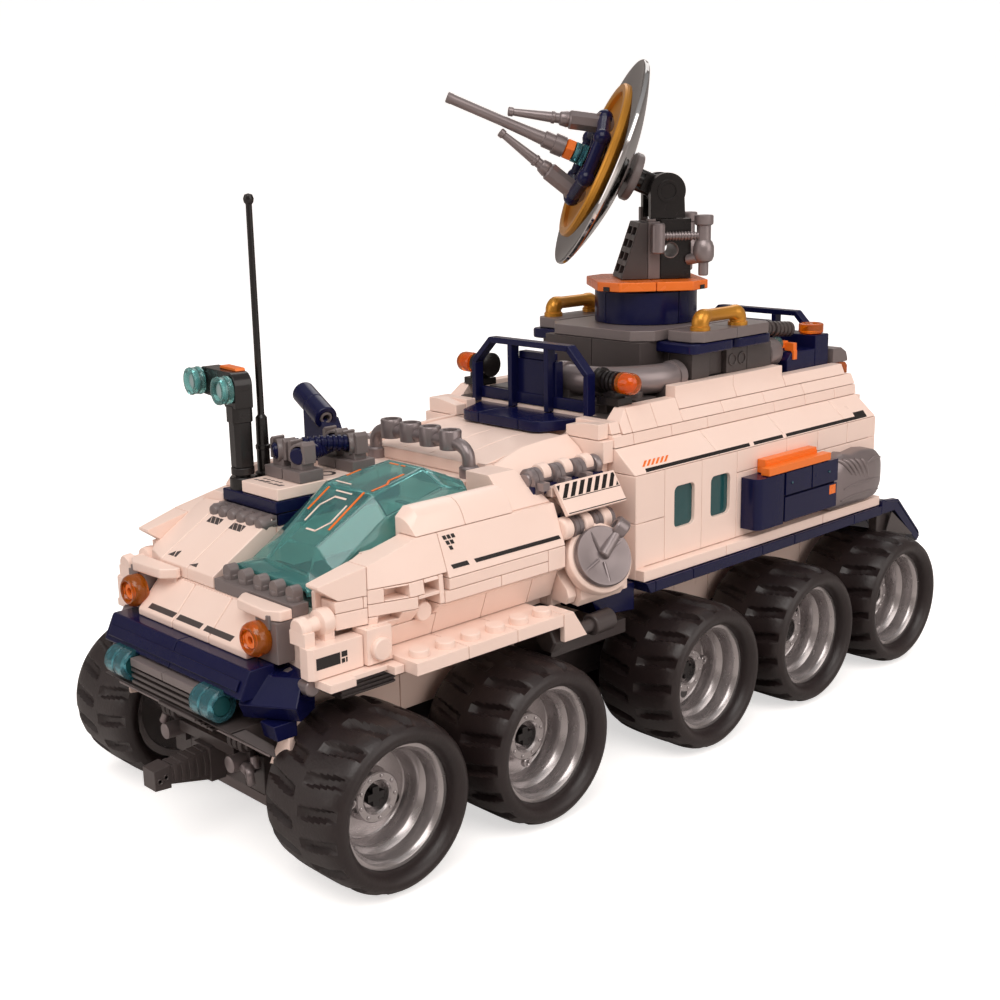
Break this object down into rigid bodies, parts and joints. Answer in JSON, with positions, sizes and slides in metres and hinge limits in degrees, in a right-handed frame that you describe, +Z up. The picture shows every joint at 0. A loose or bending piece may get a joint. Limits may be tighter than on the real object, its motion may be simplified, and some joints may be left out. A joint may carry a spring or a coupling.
{
  "type": "toy rover vehicle",
  "caption": "Brick-built toy planetary rover on rolling axles, with a lifting cab canopy, a turning mast and a turning, tilting dish.",
  "frame": {"origin": "on the floor, in the middle of the vehicle's length and width", "axes": "+X to the vehicle's left, -Y the way it drives, +Z up"},
  "size_m": [0.117, 0.265, 0.1889],
  "materials": {
    "tyre": "matt",
    "rim": "satin silver plastic",
    "white": "glossy",
    "navy": "glossy",
    "dark_grey": "glossy",
    "mid_grey": "glossy",
    "silver": "pearly",
    "black": "glossy",
    "teal_clear": "clear tinted plastic",
    "amber_clear": "clear tinted plastic",
    "orange": "glossy",
    "gold": "pearly",
    "chrome": "mirror"
  },
  "bodies": {
    "chassis": {"amber_lamps": "amber_clear", "beacon_posts": "black", "belly_plate": "mid_grey", "body_strips": "navy", "bumper_bar": "navy", "cab_core": "white", "cab_roof": "white", "cab_sides": "white", "chassis_frame": "dark_grey", "deck_clips": "mid_grey", "deck_plates": "navy", "deck_tile": "white", "deck_tubes": "navy", "drum": "navy", "front_lamps": "teal_clear", "gold_handles": "gold", "grille_panel": "mid_grey", "hood": "white", "lower_walls": "white", "module_ends": "white", "module_glass": "teal_clear", "module_roof": "mid_grey", "module_sides": "white", "nose_brackets": "mid_grey", "nose_wedges": "white", "railings": "navy", "rear_boxes": "navy", "rear_guard": "navy", "roof_course": "dark_grey", "roof_plates": "navy", "side_crates": "navy", "side_discs": "silver", "side_pods": "silver", "side_rollers": "silver", "side_walls": "white", "silver_pipes": "silver", "skirt_shelves": "white", "tow_gear": "dark_grey", "whip_antenna": "black"},
    "axle_1": {"wheelset_1": "rim", "tyres_1": "tyre"},
    "axle_2": {"wheelset_2": "rim", "tyres_2": "tyre"},
    "axle_3": {"wheelset_3": "rim", "tyres_3": "tyre"},
    "axle_4": {"wheelset_4": "rim", "tyres_4": "tyre"},
    "axle_5": {"wheelset_5": "rim", "tyres_5": "tyre"},
    "canopy": {"canopy_glass": "teal_clear", "canopy_hinge": "dark_grey"},
    "mast": {"mast_column": "black", "mast_lenses": "teal_clear"},
    "turret": {"turret_plate": "orange", "turret_base": "black", "turret_trim": "dark_grey"},
    "dish": {"dish_arm": "black", "dish_chrome": "chrome", "dish_gold": "gold", "dish_feed": "dark_grey"}
  },
  "joints": [
    {"name": "axle_1_roll", "type": "hinge", "parent": "chassis", "child": "axle_1", "pos_m": [0, -0.1015, 0.0208], "axis": [1, 0, 0], "continuous": true},
    {"name": "axle_2_roll", "type": "hinge", "parent": "chassis", "child": "axle_2", "pos_m": [0, -0.0535, 0.0208], "axis": [1, 0, 0], "continuous": true},
    {"name": "axle_3_roll", "type": "hinge", "parent": "chassis", "child": "axle_3", "pos_m": [0, 0.0105, 0.0208], "axis": [1, 0, 0], "continuous": true},
    {"name": "axle_4_roll", "type": "hinge", "parent": "chassis", "child": "axle_4", "pos_m": [0, 0.0585, 0.0208], "axis": [1, 0, 0], "continuous": true},
    {"name": "axle_5_roll", "type": "hinge", "parent": "chassis", "child": "axle_5", "pos_m": [0, 0.1065, 0.0208], "axis": [1, 0, 0], "continuous": true},
    {"name": "canopy_lift", "type": "hinge", "parent": "chassis", "child": "canopy", "pos_m": [0.016, -0.0549, 0.0826], "axis": [-1, 0, 0], "range_deg": [0, 65]},
    {"name": "mast_turn", "type": "hinge", "parent": "chassis", "child": "mast", "pos_m": [-0.0204, -0.0887, 0.09], "axis": [0, 0, 1], "range_deg": [-40, 90]},
    {"name": "turret_turn", "type": "hinge", "parent": "chassis", "child": "turret", "pos_m": [0, 0.047, 0.12], "axis": [0, 0, 1], "continuous": true},
    {"name": "dish_tilt", "type": "hinge", "parent": "turret", "child": "dish", "pos_m": [0.00311, 0.05091, 0.151], "axis": [-0.7826, 0.6225, 0], "range_deg": [-10, 60]}
  ]
}
